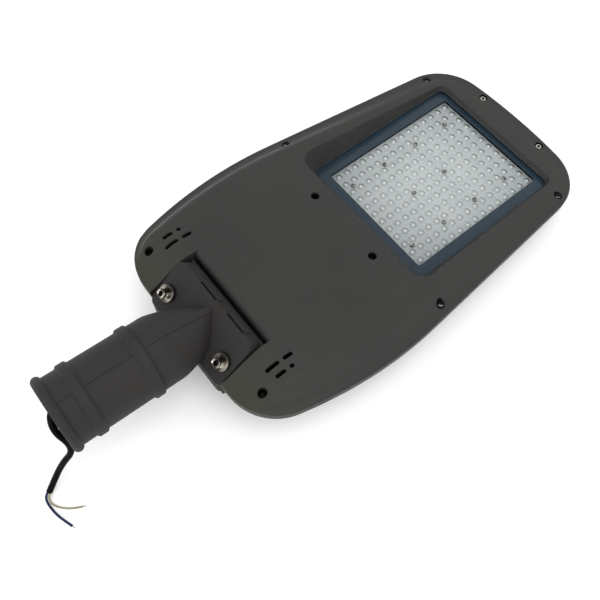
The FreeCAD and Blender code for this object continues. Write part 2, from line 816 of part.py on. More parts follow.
def strips():
    """A flat along the top line of the tube and of the neck, with a low step on one side."""
    half = size("stripWidth") / 2
    endHalf = size("stripEndWidth") / 2
    radius = size("tubeRadius")

    def bar(start, way, up, length, farHalf):
        corners = [V(0, -half, 0), V(length, -farHalf, 0), V(length, farHalf, 0), V(0, half, 0)]
        solid = Part.Face(Part.makePolygon(corners + corners[:1])).extrude(V(0, 0, -size("stripDepth")))
        turn = FreeCAD.Rotation(way, -size("stripTilt"))
        turn = turn.multiply(FreeCAD.Rotation(way, V(0, 1, 0), up, "ZXY"))
        solid.Placement = FreeCAD.Placement(start, turn)
        return solid

    bead = size("beadRadius")
    reach = (size("neckStartX") - size("mouthX") - radius * math.sin(lean)) / math.cos(lean)
    slope = math.radians(size("neckSlope"))
    way = V(math.cos(slope), 0, -math.sin(slope))
    up = V(math.sin(slope), 0, math.cos(slope))
    start = axisAt(reach) + topWay * radius
    face = place(0, 0, size("flangeThickness"))
    length = (face - start).dot(outWay) / way.dot(outWay) + 1.0
    return [
        bar(axisAt(bead) + topWay * radius, tubeWay, topWay, reach - bead, half),
        bar(start, way, up, length, endHalf),
    ]


# Bodies made from sketches, whose every corner is bound to the sheet

def basePlane(body, role):
    return [item for item in body.Origin.OriginFeatures if item.Role == role][0]


def sketch(body, role, corners, lift="0"):
    """A closed outline of corners (x, y), each bound to the sheet, lifted off its plane."""
    item = body.newObject("Sketcher::SketchObject", body.Name + "Outline")
    item.AttachmentSupport = [(basePlane(body, role), "")]
    item.MapMode = "FlatFace"
    item.setExpression("AttachmentOffset.Base.z", link(lift))
    places = [(value(x), value(y)) for x, y in corners]
    count = len(corners)
    for k in range(count):
        item.addGeometry(Part.LineSegment(V(*places[k], 0), V(*places[(k + 1) % count], 0)))
    for k in range(count):
        item.addConstraint(Sketcher.Constraint("Coincident", k, 2, (k + 1) % count, 1))
    for k in range(count):
        for way, axis in (("DistanceX", 0), ("DistanceY", 1)):
            number = item.addConstraint(Sketcher.Constraint(way, -1, 1, k, 1, places[k][axis]))
            item.setExpression(f"Constraints[{number}]", link(corners[k][axis]))
    return item


def bodyOf(label):
    body = doc.addObject("PartDesign::Body", label)
    body.Label = label
    return body


def pad(body, outline, length):
    item = body.newObject("PartDesign::Pad", body.Name + "Pad")
    item.Profile = outline
    bind(item, Length=length)
    outline.Visibility = False
    return item


def pocket(body, outline, length):
    item = body.newObject("PartDesign::Pocket", body.Name + "Pocket")
    item.Profile = outline
    item.Reversed = True
    bind(item, Length=length)
    before = body.Shape.Volume
    doc.recompute()
    if item.Shape.Volume >= before:
        raise RuntimeError(body.Label + ": a pocket cuts nothing")
    return item


def roundEdges(body, radius, picked):
    """Round the last feature's edges that the given test picks."""
    doc.recompute()
    base = body.Tip
    edges = [f"Edge{k + 1}" for k, edge in enumerate(base.Shape.Edges) if picked(edge)]
    item = body.newObject("PartDesign::Fillet", body.Name + "Round")
    item.Base = (base, edges)
    bind(item, Radius=radius)
    return item


def upright(edge):
    return edge.BoundBox.XLength < 1e-6 and edge.BoundBox.YLength < 1e-6


def rectangle(rear, front, half):
    return [(rear, "-(" + half + ")"), (front, "-(" + half + ")"), (front, half), (rear, half)]


def plate(label, rear, front, half, low, thick, corner):
    body = bodyOf(label)
    pad(body, sketch(body, "XY_Plane", rectangle(rear, front, half), low), thick)
    if corner:
        roundEdges(body, corner, upright)
    doc.recompute()
    return body


def frameOf(label, outer, inner, low, thick, corner, innerCorner):
    """A flat frame: a rounded plate with a rounded opening."""
    body = plate(label, *outer, low, thick, corner)
    solid = body.Shape.Volume
    pocket(body, sketch(body, "XY_Plane", rectangle(*inner), low), thick)
    fresh = [value(text) for text in inner]

    def picked(edge):
        place = edge.CenterOfMass
        atX = min(abs(place.x - fresh[0]), abs(place.x - fresh[1])) < 0.01
        return upright(edge) and atX and abs(abs(place.y) - fresh[2]) < 0.01

    roundEdges(body, innerCorner, picked)
    doc.recompute()
    if body.Shape.Volume >= solid:
        raise RuntimeError(label + ": the opening is missing")
    return body


def turned(label, corners):
    """A piece turned about Z from its half section of corners (radius, height)."""
    body = bodyOf(label)
    outline = sketch(body, "XZ_Plane", corners)
    item = body.newObject("PartDesign::Revolution", label + "Turn")
    item.Profile = outline
    item.ReferenceAxis = (outline, ["V_Axis"])
    item.Angle = 360
    outline.Visibility = False
    doc.recompute()
    return body


def socketed(body, top, width, depth):
    """A hexagon socket, cut down from the given height."""
    corners = []
    for k in range(6):
        corners.append((f"{width} / 2 / cos(30) * cos({60 * k})", f"{width} / 2 / cos(30) * sin({60 * k})"))
    item = body.newObject("PartDesign::Pocket", body.Name + "Socket")
    item.Profile = sketch(body, "XY_Plane", corners, top)
    bind(item, Length=depth)
    before = body.Shape.Volume
    doc.recompute()
    if body.Shape.Volume >= before:
        raise RuntimeError(body.Label + ": the socket cuts nothing")
    return body


def screw(label, radius, head, headHeight, length, socket):
    """Its head rests on Z = 0 and its shank points down."""
    body = turned(
        label,
        [("0", "-(" + length + ")"), (radius, "-(" + length + ")"), (radius, "0"), (head, "0"),
         (head, headHeight + " * 0.7"), (head + " * 0.85", headHeight), ("0", headHeight)],
    )
    return socketed(body, headHeight, socket, headHeight + " * 0.55")


def group(label, form, places):
    """Copies of one form at the given placements, as separate solids of one node."""
    copies = []
    for where in places:
        copy = form.Shape.copy()
        copy.Placement = where.multiply(copy.Placement)
        copies.append(copy)
    return feature(label, Part.makeCompound(copies))


def standing(x, y, z):
    return FreeCAD.Placement(V(x, y, z), FreeCAD.Rotation())


def onFlange(slope, y, out):
    return FreeCAD.Placement(place(slope, y, out), flangeTurn)


setScrewReach = (size("setScrewFirst"), size("setScrewSecond"))
driverScrewY = size("driverLength") / 2 + size("driverTab") / 2
lensRowMid = [size("lensFrontX") - size("lensPitchX") * (1.5 + 4 * k) for k in range(4)]
lensScrewPlaces = [(x, 4 * k * size("lensPitchY")) for x in lensRowMid for k in (-1, 1)]
lensScrewPlaces += [(x, 0.0) for x in lensRowMid[1:3]]

# Die castings

feature("front_cover", frontCover())
feature("back_housing", backHousing())
feature("cover_gasket", gasketRing())
feature("spigot", spigot())

# Window stack, from the cover's ledge down

glassEnds = ("windowRearX - glassLap", "windowFrontX + glassLap", "windowHalfWidth + glassLap")
windowEnds = ("windowRearX", "windowFrontX", "windowHalfWidth")
glass = plate("window_glass", *glassEnds, "glassTop - glassThickness", "glassThickness", "glassCorner")
glassSeal = frameOf(
    "glass_gasket", glassEnds, windowEnds, "glassTop", "glassGasket", "glassCorner", "windowCorner"
)
retainerHalf = "glassClearance + frameWall - retainerSetback"
retainer = frameOf(
    "retainer_blank",
    (f"windowRearX - glassLap - ({retainerHalf})", f"windowFrontX + glassLap + {retainerHalf}",
     f"windowHalfWidth + glassLap + {retainerHalf}"),
    ("windowRearX - glassLap + retainerLip", "windowFrontX + glassLap - retainerLip",
     "windowHalfWidth + glassLap - retainerLip"),
    "glassTop - glassThickness - retainerThickness", "retainerThickness", "frameCorner", "windowCorner",
)
retainerScrew = screw(
    "retainerScrewForm", "retainerScrewRadius", "retainerScrewRadius * 1.9", "retainerScrewRadius * 1.1",
    f"retainerThickness + {retainerScrewReach} - 1", "retainerScrewRadius * 1.3",
)
holes = [pin(x, y, 0, high, size("retainerScrewRadius")) for x, y in retainerPlaces]
feature("glass_retainer", retainer.Shape.cut(holes))

# LED engine, from the housing's seat up

boardEnds = (
    "lensFrontX - lensPitchX * (lensRows - 1) - lensMargin", "lensFrontX + lensMargin",
    "lensPitchY * (lensColumns - 1) / 2 + lensMargin",
)
board = plate("board_blank", *boardEnds, "boardSeat", "boardThickness", "boardCorner")
lensLow = "boardSeat + boardThickness"
lensBase = plate("lens_blank", *boardEnds, lensLow, "lensAirGap + lensPlateThickness", "boardCorner")
lensTop = value(lensLow + " + lensAirGap + lensPlateThickness")
boardTop = value(lensLow)
lensRows = int(size("lensRows"))
lensColumns = int(size("lensColumns"))
lensPlaces = [
    (size("lensFrontX") - i * size("lensPitchX"), (j - (lensColumns - 1) / 2) * size("lensPitchY"))
    for i in range(lensRows) for j in range(lensColumns)
]


def lensDome():
    """One low dome of eight sides in two tiers."""
    tiers = [(1.0, 0.0), (0.84, 0.6), (0.42, 1.0)]
    rings = []
    for share, rise in tiers:
        radius = size("lensRadius") * share
        height = size("lensHeight") * rise
        points = []
        for k in range(9):
            turn = math.radians(45 * k)
            points.append(V(radius * math.cos(turn), radius * math.sin(turn), height))
        rings.append(Part.makePolygon(points))
    return Part.makeLoft(rings, True, True)


def lensPlate():
    dome = lensDome()
    domes = []
    for x, y in lensPlaces:
        copy = dome.copy()
        copy.translate(V(x, y, lensTop))
        domes.append(copy)
    skirt = size("lensSkirt")
    hollow = block(
        value(boardEnds[0]) + skirt, value(boardEnds[1]) - skirt, -value(boardEnds[2]) + skirt,
        value(boardEnds[2]) - skirt, boardTop, boardTop + size("lensAirGap"),
    )
    feet = [pin(x, y, boardTop, lensTop, size("lensScrewHeadRadius")) for x, y in lensScrewPlaces]
    holes = [pin(x, y, 0, high, size("lensScrewRadius")) for x, y in lensScrewPlaces]
    base = lensBase.Shape.cut(hollow.cut(feet))
    return base.fuse(domes).cut(holes)


feature("lens_plate", lensPlate())
boardHoles = [pin(x, y, 0, high, size("lensScrewRadius")) for x, y in lensScrewPlaces]
feature("led_board", board.Shape.cut(boardHoles))
half = size("chipSize") / 2
chipTop = boardTop + size("chipHeight")
chips = [block(x - half, x + half, y - half, y + half, boardTop, chipTop) for x, y in lensPlaces]
feature("led_chips", Part.makeCompound(chips))
lensScrew = screw(
    "lensScrewForm", "lensScrewRadius", "lensScrewHeadRadius", "lensScrewHeadHeight",
    "lensPlateThickness + lensAirGap + boardThickness + lensScrewReach", "lensScrewRadius * 1.3",
)
group("lens_screws", lensScrew, [standing(x, y, lensTop) for x, y in lensScrewPlaces])
group(
    "glass_retainer_screws", retainerScrew,
    [
        FreeCAD.Placement(
            V(x, y, glassLow - size("retainerThickness")), FreeCAD.Rotation(V(1, 0, 0), 180)
        )
        for x, y in retainerPlaces
    ],
)

# Cover screws

coverScrew = screw(
    "coverScrewForm", "screwRadius", "screwHeadRadius", "screwHeadHeight", "screwGrip", "screwRadius * 1.6"
)
group(
    "cover_screws", coverScrew,
    [standing(x, y, top - size("screwHeadHeight")) for x, y, top in screwPlaces],
)

# Driver bay

driverLow = size("housingWall")
driver = plate(
    "driver_case", "driverX - driverWidth / 2", "driverX + driverWidth / 2", "driverLength / 2",
    "housingWall", "driverHeight", "driverCorner",
)
tabHalf = size("driverTabWidth") / 2
tabReach = size("driverLength") / 2 + size("driverTab")
tabTop = driverLow + size("driverTabThickness")
tab = block(size("driverX") - tabHalf, size("driverX") + tabHalf, -tabReach, tabReach, driverLow, tabTop)
driverScrewPlaces = [(size("driverX"), k * driverScrewY) for k in (-1, 1)]
driverHoles = [pin(x, y, 0, high, size("driverScrewRadius")) for x, y in driverScrewPlaces]
feature("led_driver", driver.Shape.fuse(tab).cut(driverHoles))
driverScrew = screw(
    "driverScrewForm", "driverScrewRadius", "driverScrewHeadRadius", "driverScrewHeadHeight",
    "driverScrewLength", "driverScrewSocket",
)
group("driver_screws", driverScrew, [standing(x, y, tabTop) for x, y in driverScrewPlaces])
terminal = plate(
    "terminal_block", "terminalX - terminalWidth / 2", "terminalX + terminalWidth / 2", "terminalLength / 2",
    "housingWall", "terminalHeight", "terminalCorner",
)

# Spigot fasteners

thick = size("flangeThickness")
padTop = thick + size("padWasherThickness")
padWasher = turned(
    "padWasherForm",
    [("boltRadius + boltClearance", "0"), ("washerRadius", "0"), ("washerRadius", "padWasherThickness"),
     ("boltRadius + boltClearance", "padWasherThickness")],
)
washer = turned(
    "washerForm",
    [("boltRadius + boltClearance", "0"), ("washerRadius", "0"), ("washerRadius", "washerThickness"),
     ("boltRadius + boltClearance", "washerThickness")],
)
spring = turned(
    "springForm",
    [("boltRadius + springClearance", "0"), ("springRadius", "0"), ("springRadius", "springThickness"),
     ("boltRadius + springClearance", "springThickness")],
)
boltLength = "flangeThickness + padWasherThickness + washerThickness + springThickness + boltReach"
bolt = screw("boltForm", "boltRadius", "boltHeadRadius", "boltHeadHeight", boltLength, "boltSocket")
sides = [(size("boltSlope"), k * size("boltY")) for k in (-1, 1)]
group("pad_washers", padWasher, [onFlange(s, y, thick) for s, y in sides])
group("flat_washers", washer, [onFlange(s, y, padTop) for s, y in sides])
split = block(0, 8, -size("springSplit") / 2, size("springSplit") / 2, -1, 9)
splitSpring = doc.addObject("Part::Feature", "splitSpringForm")
splitSpring.Shape = spring.Shape.cut(split)
group("spring_washers", splitSpring, [onFlange(s, y, padTop + size("washerThickness")) for s, y in sides])
group(
    "spigot_bolts", bolt,
    [onFlange(s, y, padTop + size("washerThickness") + size("springThickness")) for s, y in sides],
)
setScrew = turned(
    "setScrewForm",
    [("0", "0"), ("setScrewRadius", "0"), ("setScrewRadius", "setScrewLength"), ("0", "setScrewLength")],
)
socketed(setScrew, "setScrewLength", "setScrewRadius", "setScrewRadius")
under = FreeCAD.Rotation(tubeWay, V(0, -1, 0), topWay * -1, "ZXY")
group(
    "pole_set_screws", setScrew,
    [FreeCAD.Placement(axisAt(reach) - topWay * size("boreRadius"), under) for reach in setScrewReach],
)

# Gland and supply cable

gland = turned(
    "glandForm",
    [("cableRadius", "-glandThreadLength"), ("glandThreadRadius", "-glandThreadLength"),
     ("glandThreadRadius", "0"), ("glandHexRadius", "0"), ("glandHexRadius", "glandHexTop"),
     ("glandDomeRadius", "glandDomeFoot"), ("glandDomeRadius", "glandDomeTop"),
     ("cableRadius + glandTopWall", "glandTop"), ("cableRadius", "glandTop")],
)
group("cable_gland", gland, [onFlange(size("glandSlope"), 0, 0)])


def tube(label, points, radius):
    """A round cord: straight runs joined by tangent arcs, each as large as its runs allow."""
    edges = []
    radii = []
    start = points[0]
    for before, corner, after in zip(points, points[1:], points[2:]):
        into = corner - before
        out = after - corner
        turn = into.getAngle(out)
        shorter = min(into.Length, out.Length)
        setback = 0.45 * shorter
        bend = setback / math.tan(turn / 2)
        radii.append(round(bend, 1))
        into.normalize()
        out.normalize()
        first = corner - into * setback
        last = corner + out * setback
        inward = out - into
        inward.normalize()
        middle = corner + inward * (bend / math.cos(turn / 2) - bend)
        edges.append(Part.LineSegment(start, first).toShape())
        edges.append(Part.Arc(first, middle, last).toShape())
        start = last
    edges.append(Part.LineSegment(start, points[-1]).toShape())
    path = Part.Wire(edges)
    way = points[1] - points[0]
    way.normalize()
    profile = Part.Wire([Part.Circle(points[0], way, radius).toShape()])
    solid = path.makePipeShell([profile], True, False)
    expected = math.pi * radius**2 * path.Length
    share = round(solid.Volume / expected, 4)
    print(label, "length", round(path.Length, 1), "radii", radii, "volume share", share)
    return feature(label, solid)


cableRoute = [
    place(size("glandSlope"), 0, 1.0), place(size("glandSlope"), 0, 28.6),
    V(-202.5, 1.5, 77.0), V(-230.0, 6.0, 73.5), V(-256.0, 14.5, 71.5), V(-279.0, 21.0, 73.0),
    V(-300.0, 19.0, 73.5), V(-315.0, 5.0, 71.5), V(-319.5, -14.0, 64.0), V(-324.0, -22.0, 48.5),
    V(-337.5, -22.7, 27.0), V(-348.5, -24.0, 10.0), V(-356.0, -25.0, 4.3),
]
blueRoute = [
    V(-356.4, -23.8, 4.1), V(-359.6, -24.6, 2.1), V(-362.2, -27.2, 1.3), V(-363.5, -31.5, 1.1),
    V(-363.4, -39.0, 1.15), V(-361.2, -49.5, 1.1), V(-357.8, -59.0, 1.0), V(-355.5, -65.2, 1.0),
]
oliveRoute = [
    V(-356.3, -26.3, 4.1), V(-358.8, -27.9, 2.5), V(-360.5, -31.3, 1.4), V(-360.3, -35.7, 1.1),
    V(-357.9, -40.7, 1.1), V(-352.9, -46.7, 1.05), V(-345.8, -52.3, 1.0), V(-338.9, -55.7, 1.0),
]
tube("supply_cable", cableRoute, size("cableRadius"))
tube("blue_wire", blueRoute, size("wireRadius"))
tube("olive_wire", oliveRoute, size("wireRadius"))

nodes += [glass, glassSeal, terminal]

doc.recompute()
for item in doc.Objects:
    if "Invalid" in item.State or "Error" in item.State:
        raise RuntimeError(item.Name + ": " + ", ".join(item.State))
for item in nodes:
    if item.Shape.isNull() or not item.Shape.isValid() or not item.Shape.Solids:
        raise RuntimeError(item.Label + ": no valid solid")
os.makedirs("parts", exist_ok=True)
for item in nodes:
    print(item.Label, len(item.Shape.Solids), round(item.Shape.Volume / 1000, 2), "cm3")
    item.Shape.exportStep("parts/" + item.Label + ".step")
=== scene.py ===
import bmesh
import bpy
import math
from mathutils import Matrix, Vector


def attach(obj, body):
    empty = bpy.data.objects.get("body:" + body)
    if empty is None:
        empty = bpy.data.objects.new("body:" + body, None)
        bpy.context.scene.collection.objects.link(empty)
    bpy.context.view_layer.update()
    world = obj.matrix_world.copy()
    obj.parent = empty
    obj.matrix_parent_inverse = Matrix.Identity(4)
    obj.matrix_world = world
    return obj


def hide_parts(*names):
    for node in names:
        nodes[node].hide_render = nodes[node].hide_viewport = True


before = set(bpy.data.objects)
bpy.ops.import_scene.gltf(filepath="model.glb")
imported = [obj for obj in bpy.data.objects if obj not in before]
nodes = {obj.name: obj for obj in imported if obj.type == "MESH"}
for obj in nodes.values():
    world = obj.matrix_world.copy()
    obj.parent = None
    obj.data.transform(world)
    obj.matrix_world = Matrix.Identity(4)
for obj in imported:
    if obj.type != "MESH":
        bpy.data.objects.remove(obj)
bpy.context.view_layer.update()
scene = bpy.context.scene
scene.view_settings.view_transform = "Standard"
mm = 0.001

# Camera: the photograph's place and angle

camera = {
    "place": (-0.2409, -0.2346, 0.6431),
    "right": (0.77887, -0.62642, 0.03088),
    "up": (0.55790, 0.71449, 0.42221),
    "lens": 38.157,
    "sensor": 36.0,
}
cameraData = bpy.data.cameras.new("camera")
cameraData.lens = camera["lens"]
cameraData.sensor_width = camera["sensor"]
cameraData.clip_start = 0.01
cameraObject = bpy.data.objects.new("camera", cameraData)
scene.collection.objects.link(cameraObject)
right = Vector(camera["right"]).normalized()
up = Vector(camera["up"]).normalized()
back = right.cross(up)
turn = Matrix((right, up, back)).transposed().to_4x4()
cameraObject.matrix_world = Matrix.Translation(camera["place"]) @ turn
scene.camera = cameraObject
print("camera placed")


# Pieces

def addPiece(name, data):
    piece = bpy.data.objects.new(name, data)
    scene.collection.objects.link(piece)
    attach(piece, "root")
    return piece


def cordCurve(name, points, radius):
    curve = bpy.data.curves.new(name, "CURVE")
    curve.dimensions = "3D"
    spline = curve.splines.new("NURBS")
    spline.points.add(len(points) - 1)
    for point, (x, y, z) in zip(spline.points, points):
        point.co = (x * mm, y * mm, z * mm, 1)
        point.radius = radius * mm
    spline.order_u = 3
    spline.use_endpoint_u = True
    spline.resolution_u = 12
    curve.bevel_depth = 1.0
    curve.bevel_resolution = 5
    curve.use_fill_caps = True
    return addPiece(name, curve)


# Supply cable and its two wires, in millimetres, on the route of the solid ones

cable = {
    "radius": 3.2,
    "length": 0.266,
    "points": [
        (-157.2, 0.0, 57.0), (-174.8, 0.0, 78.3), (-202.5, 1.5, 77.0), (-230.0, 6.0, 73.5),
        (-256.0, 14.5, 71.5), (-279.0, 21.0, 73.0), (-298.0, 20.5, 73.5), (-311.5, 11.5, 71.5),
        (-316.0, -1.5, 64.0), (-311.8, -14.2, 52.8), (-315.8, -19.5, 42.3), (-327.0, -18.0, 31.2),
        (-339.5, -18.5, 17.0), (-356.0, -25.0, 4.3),
    ],
}
wires = {
    "radius": 0.9,
    "blueRadius": 1.15,
    "blue": [
        (-356.4, -23.8, 4.1), (-359.6, -24.6, 2.3), (-362.2, -27.2, 1.5), (-363.2, -31.5, 1.3),
        (-363.1, -39.0, 1.3), (-361.2, -49.5, 1.3), (-357.8, -59.0, 1.25), (-355.5, -65.2, 1.25),
    ],
    "olive": [
        (-356.3, -26.3, 4.1), (-358.8, -27.9, 2.5), (-360.5, -31.3, 1.4), (-360.3, -35.7, 1.1),
        (-357.9, -40.7, 1.1), (-352.9, -46.7, 1.05), (-345.8, -52.3, 1.0), (-338.9, -55.7, 1.0),
    ],
    "blueLength": 0.0468,
    "oliveLength": 0.0415,
}
supplyCable = cordCurve("supplyCable", cable["points"], cable["radius"])
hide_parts("supply_cable")
blueWire = cordCurve("blueWire", wires["blue"], wires["blueRadius"])
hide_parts("blue_wire")
oliveWire = cordCurve("oliveWire", wires["olive"], wires["radius"])
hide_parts("olive_wire")


def inMetres(point):
    return Vector(point) * mm


smoothAngles = {"turned": 35, "cast": 24}


def smooth(mesh, degrees):
    for face in mesh.polygons:
        face.use_smooth = True
    mesh.set_sharp_from_angle(angle=math.radians(degrees))


def meshOf(bm, name, smoothAngle=smoothAngles["turned"]):
    bmesh.ops.recalc_face_normals(bm, faces=bm.faces)
    mesh = bpy.data.meshes.new(name)
    bm.to_mesh(mesh)
    bm.free()
    smooth(mesh, smoothAngle)
    return mesh


def ringPoint(kind, radius, angle):
    # A hex ring's radius is half its width across the flats
    if kind == "hex":
        sixth = math.pi / 3
        return radius / math.cos((angle + sixth / 2) % sixth - sixth / 2)
    if kind == "knurl":
        return radius + bolts["knurlDepth"] / 2 * mm * math.cos(bolts["knurls"] * angle)
    return radius


def roundVertex(bm, place, radius, angle, height):
    return bm.verts.new(place @ Vector((radius * math.cos(angle), radius * math.sin(angle), height)))


def addRings(bm, place, rings, count, closed=True, dark=None):
    # Rings of (radius, height, kind) are joined in order, and the ends of a closed form are filled
    loops = []
    for radius, height, kind in rings:
        loop = []
        for k in range(count):
            angle = 2 * math.pi * k / count
            reach = ringPoint(kind, radius, angle)
            loop.append(roundVertex(bm, place, reach, angle, height))
        loops.append(loop)
    made = []
    for lower, upper in zip(loops, loops[1:]):
        for k in range(count):
            made.append(bm.faces.new((lower[k], lower[(k + 1) % count], upper[(k + 1) % count], upper[k])))
    if closed:
        bm.faces.new(list(reversed(loops[0])))
        made.append(bm.faces.new(loops[-1]))
    if dark:
        # The last faces, from ring number dark on, are the walls of a socket and take the second material, a
        # near-black painted shade
        for face in made[dark * count:]:
            face.material_index = 1


# Bare ends of the wires: a twist of fine tinned strands

copper = {
    "strands": 7, "strandRadius": 0.16, "strandSides": 6, "twistRadius": 0.36, "twistSpread": 0.35,
    "length": 3.4, "turns": 0.6, "steps": 14,
}


def copperEnd(name, points):
    last = inMetres(points[-1])
    way = (last - inMetres(points[-2])).normalized()
    side = way.cross(Vector((0, 0, 1))).normalized()
    lift = side.cross(way).normalized()
    sides = copper["strandSides"]
    bm = bmesh.new()
    for strand in range(copper["strands"]):
        rings = []
        for step in range(copper["steps"] + 1):
            share = step / copper["steps"]
            angle = 2 * math.pi * (strand / copper["strands"] + copper["turns"] * share)
            spread = copper["twistRadius"] * mm * (1 + copper["twistSpread"] * share) if strand else 0
            centre = last + way * (share * copper["length"] * mm)
            centre += (side * math.cos(angle) + lift * math.sin(angle)) * spread
            ring = []
            for k in range(sides):
                bend = 2 * math.pi / sides * k
                offset = (side * math.cos(bend) + lift * math.sin(bend)) * copper["strandRadius"] * mm
                ring.append(bm.verts.new(centre + offset))
            rings.append(ring)
        for lower, upper in zip(rings, rings[1:]):
            for k in range(sides):
                bm.faces.new((lower[k], lower[(k + 1) % sides], upper[(k + 1) % sides], upper[k]))
        bm.faces.new(list(reversed(rings[0])))
        bm.faces.new(rings[-1])
    return addPiece(name, meshOf(bm, name))


blueCopper = copperEnd("blueWireEnd", wires["blue"])
oliveCopper = copperEnd("oliveWireEnd", wires["olive"])
print("cable and wires laid")

# Finishes: numbers become Math nodes through Socket, and every other node comes from Finish.node


class Socket:
    def __init__(self, finish, socket):
        self.finish = finish
        self.socket = socket

    def math(self, operation, first, second):
        return self.finish.node("ShaderNodeMath", {"operation": operation}, {0: first, 1: second})

    def alone(self, operation):
        return self.finish.node("ShaderNodeMath", {"operation": operation}, {0: self})

    def __add__(self, other):
        return self.math("ADD", self, other)

    def __radd__(self, other):
        return self.math("ADD", other, self)

    def __sub__(self, other):
        return self.math("SUBTRACT", self, other)

    def __rsub__(self, other):
        return self.math("SUBTRACT", other, self)

    def __mul__(self, other):
        return self.math("MULTIPLY", self, other)

    def __rmul__(self, other):
        return self.math("MULTIPLY", other, self)

    def __abs__(self):
        return self.alone("ABSOLUTE")

    def __pow__(self, other):
        return self.math("POWER", self, other)


class Finish:
    def __init__(self, name, **values):
        self.material = bpy.data.materials.new(name)
        self.material.use_nodes = True
        self.tree = self.material.node_tree
        self.shader = self.tree.nodes["Principled BSDF"]
        for key, value in values.items():
            self.set(self.shader, key.replace("_", " "), value)
        self.place = self.node("ShaderNodeTexCoord", {}, {}, "Object")

    def set(self, node, key, value):
        if isinstance(value, Socket):
            self.tree.links.new(value.socket, node.inputs[key])
        elif isinstance(value, tuple) and len(value) == 3 and node.inputs[key].type == "RGBA":
            node.inputs[key].default_value = (*value, 1.0)
        else:
            node.inputs[key].default_value = value

    def node(self, kind, settings, sockets, outlet=0):
        made = self.tree.nodes.new(kind)
        for key, value in settings.items():
            setattr(made, key, value)
        for key, value in sockets.items():
            self.set(made, key, value)
        return Socket(self, made.outputs[outlet])

    def output(self, **values):
        for key, value in values.items():
            self.set(self.shader, key.replace("_", " "), value)
        return self.material

    def noise(self, scale, detail=2.0, rough=0.5):
        return self.node(
            "ShaderNodeTexNoise", {},
            {"Vector": self.place, "Scale": scale, "Detail": detail, "Roughness": rough}, "Fac",
        )

    def range(self, value, low, high):
        return self.node(
            "ShaderNodeMapRange", {"clamp": True},
            {"Value": value, "From Min": low, "From Max": high, "To Min": 0.0, "To Max": 1.0},
        )

    def patches(self, scale, detail, low, high, rough=0.5):
        # Soft-edged patches, from 0 between them to 1 inside
        return self.range(self.noise(scale, detail, rough), low, high)

    def mix(self, share, first, second):
        return self.node("ShaderNodeMix", {"data_type": "RGBA"}, {0: share, 6: first, 7: second}, 2)

    def bump(self, height, depth, **more):
        return self.node("ShaderNodeBump", {}, {"Height": height, "Distance": depth, **more})

    def axis(self, name):
        return self.node("ShaderNodeSeparateXYZ", {}, {"Vector": self.place}, name)

    def millimetres(self, name):
        return self.axis(name) * (1 / mm)


# Cover screws, with the shade in their counterbores, and the small screws between the lenses

screws = {
    "points": 48, "wall": 4.9, "wallSoft": 0.5, "shadeTop": 1.2, "shadeEnd": 4.4, "shade": 0.92,
    "places": [
        (298.8, 46.1, 44.9), (260.4, 108.1, 49.0), (51.6, 126.1, 66.2), (28.1, 46.2, 70.2),
        (-148.9, 93.4, 77.0),
    ],
    "head": [
        (2.5, -14.6, "round"), (2.5, -2.6, "round"), (4.1, -2.6, "round"), (4.2, -2.4, "round"),
        (4.2, -1.9, "round"), (3.9, -1.45, "round"), (3.3, -1.15, "round"), (2.6, -1.0, "round"),
        (1.75, -1.0, "hex"), (1.65, -2.1, "hex"), (0.4, -2.4, "round"),
    ],
    # The ring, glint and dark values below place painted highlights and painted shade on the screw heads
    "socketFrom": 8, "ringFrom": 290.0, "glintFrom": -100.0, "glint": (0.62, 0.61, 0.58),
    "ringInner": (1.9, 2.2), "ringOuter": (2.9, 3.3), "glintReach": (1.4, 2.2), "glintShare": 0.35,
    "darkReach": (5.0, 6.0), "diagonal": 0.7,
}
lensScrews = {"darkPatch": (0.03, 0.03, 0.028), "darkPatchShare": 0.85}

# Flange bolts with knurled heads, and their washers

flange = {
    "top": (-121.5, 0.0, 85.0), "tilt": 39.4, "slope": 33.9, "boltY": 45.0, "face": 17.0, "pad": 3.5,
    # The lobes and the dark lobe colour give the painted sheen on the turned washers and bolts
    "washer": 1.6, "spring": 1.6, "lobes": (-0.5, 0.6), "paintedSheenDark": (0.07, 0.064, 0.054),
}
bolts = {
    "points": 96, "knurls": 24, "knurlDepth": 0.13,
    "head": [
        (3.0, -38.7, "round"), (3.0, 0.0, "round"), (4.75, 0.0, "round"), (4.95, 0.25, "knurl"),
        (4.95, 5.3, "knurl"), (4.85, 5.7, "round"), (4.55, 6.0, "round"), (3.0, 6.0, "round"),
        (2.55, 5.8, "hex"), (2.5, 2.2, "hex"), (0.4, 1.6, "round"),
    ],
    "washer": [
        (3.3, 0.0, "round"), (8.8, 0.0, "round"), (9.0, 0.2, "round"), (9.0, 1.4, "round"),
        (8.75, 1.6, "round"), (3.5, 1.6, "round"), (3.3, 1.4, "round"), (3.3, 0.0, "round"),
    ],
    "socketFrom": 8, "springInner": 3.3, "springOuter": 5.9, "springGap": 7.0, "springPitch": 0.35,
    "springSteps": 44,
}

# Powder coat of the three castings, with a paler tail and shade in the counterbores

